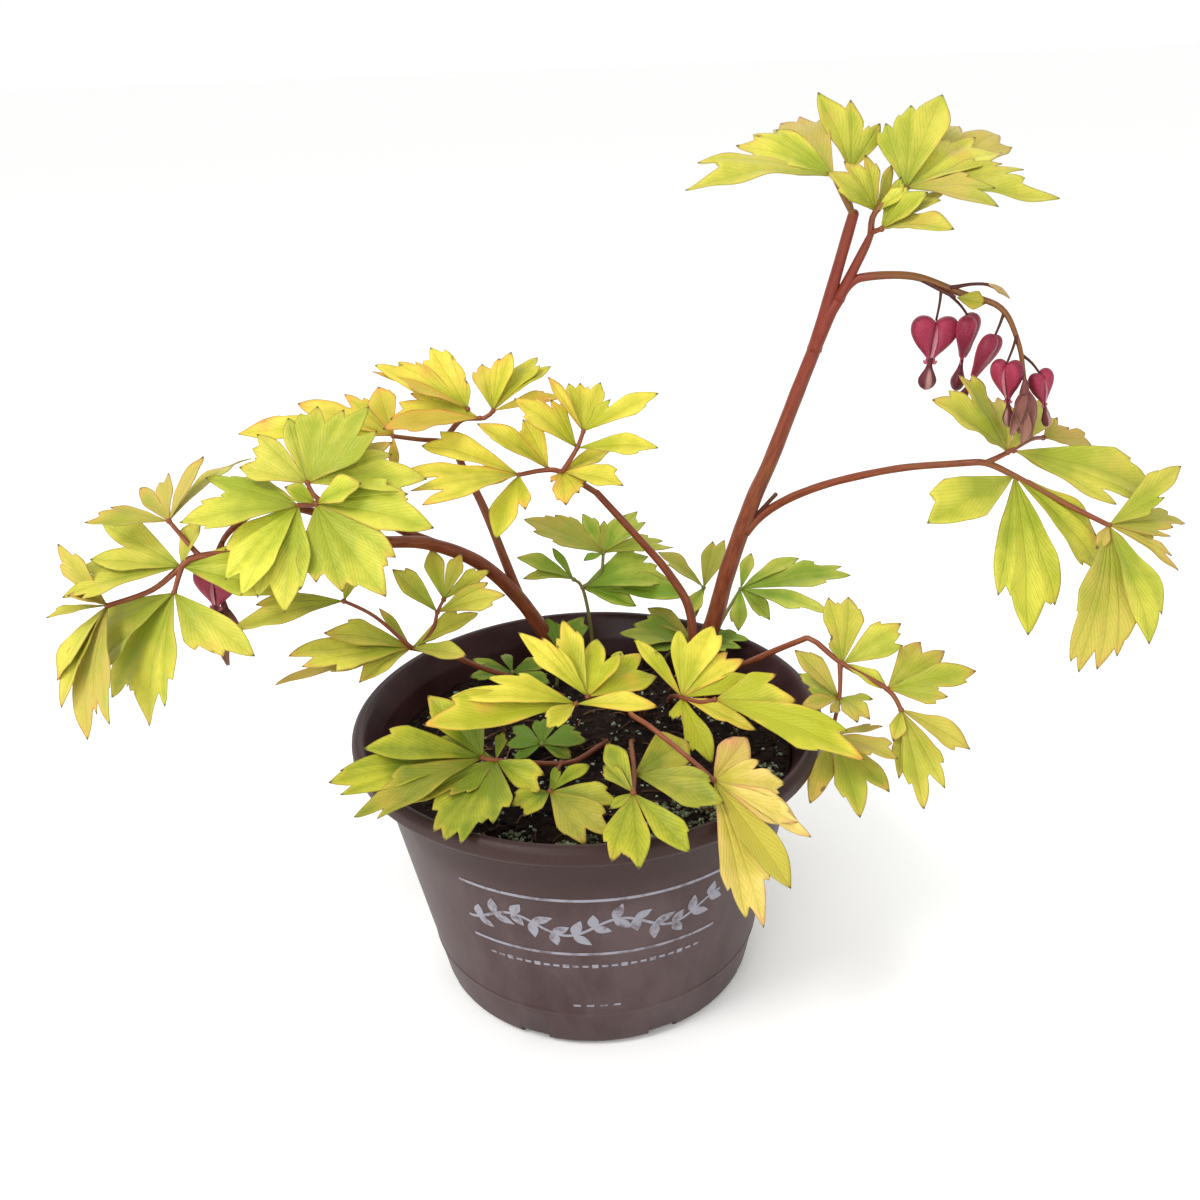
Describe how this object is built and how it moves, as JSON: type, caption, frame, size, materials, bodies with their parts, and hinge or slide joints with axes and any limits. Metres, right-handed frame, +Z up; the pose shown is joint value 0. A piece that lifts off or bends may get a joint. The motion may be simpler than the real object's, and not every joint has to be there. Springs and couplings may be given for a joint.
{
  "type": "potted bleeding heart plant",
  "caption": "Gold-leaved bleeding heart in a brown nursery pot, with arching red stems, lobed lime leaves and pink heart-shaped blooms hanging in a row.",
  "frame": {"origin": "centre of the pot's underside, on the surface it stands on", "axes": "+Z up, +X towards the tall flowering stem's side, -Y towards the front of the pot"},
  "size_m": [0.4501, 0.2234, 0.3672],
  "materials": {
    "pot": "matt brown-purple moulded plastic",
    "soil": "dark crumbly peat mix with pale specks",
    "stem": "smooth terracotta red-brown, satin",
    "leaf_lime": "lime leaf, soft satin, orange-tan edges",
    "leaf_gold": "yellow leaf, soft satin, pinkish edges",
    "leaf_green": "fresh green leaf, soft satin",
    "leaf_pale": "pale cream-yellow leaf, soft satin",
    "petal_pink": "deep pink petal, satin",
    "petal_inner": "dusky pink inner petal, satin",
    "petal_faded": "withered brown-mauve petal, matt"
  },
  "bodies": {
    "root": {"pot": "pot", "soil": "soil", "stem_tall": "stem", "stem_left": "stem", "stem_middle": "stem", "frond_top_left": "leaf_lime", "frond_top_right": "leaf_lime", "frond_right": "leaf_lime", "frond_left_star": "leaf_lime", "frond_left_back": "leaf_gold", "frond_far_left": "leaf_lime", "frond_mid_left": "leaf_gold", "frond_mid_right": "leaf_gold", "frond_low_left": "leaf_lime", "frond_back": "leaf_green", "frond_back_right": "leaf_green", "frond_back_mid": "leaf_green", "frond_back_low": "leaf_green", "frond_front_yellow": "leaf_gold", "frond_front_left": "leaf_lime", "frond_front_gold": "leaf_gold", "frond_front_low": "leaf_lime", "frond_front_pale": "leaf_pale", "frond_low_right": "leaf_lime", "shoot_left": "leaf_green", "shoot_centre": "leaf_green", "shoot_back": "leaf_green", "bloom_1": "petal_pink", "bloom_1_inner": "petal_inner", "bloom_2": "petal_pink", "bloom_2_inner": "petal_inner", "bloom_3": "petal_pink", "bloom_3_inner": "petal_inner", "bloom_4": "petal_pink", "bloom_4_inner": "petal_inner", "bloom_5": "petal_pink", "bloom_5_inner": "petal_inner", "bloom_6": "petal_pink", "bloom_6_inner": "petal_inner", "faded_bloom_right": "petal_faded", "faded_bloom_left": "petal_faded", "bract": "leaf_lime"}
  },
  "joints": []
}
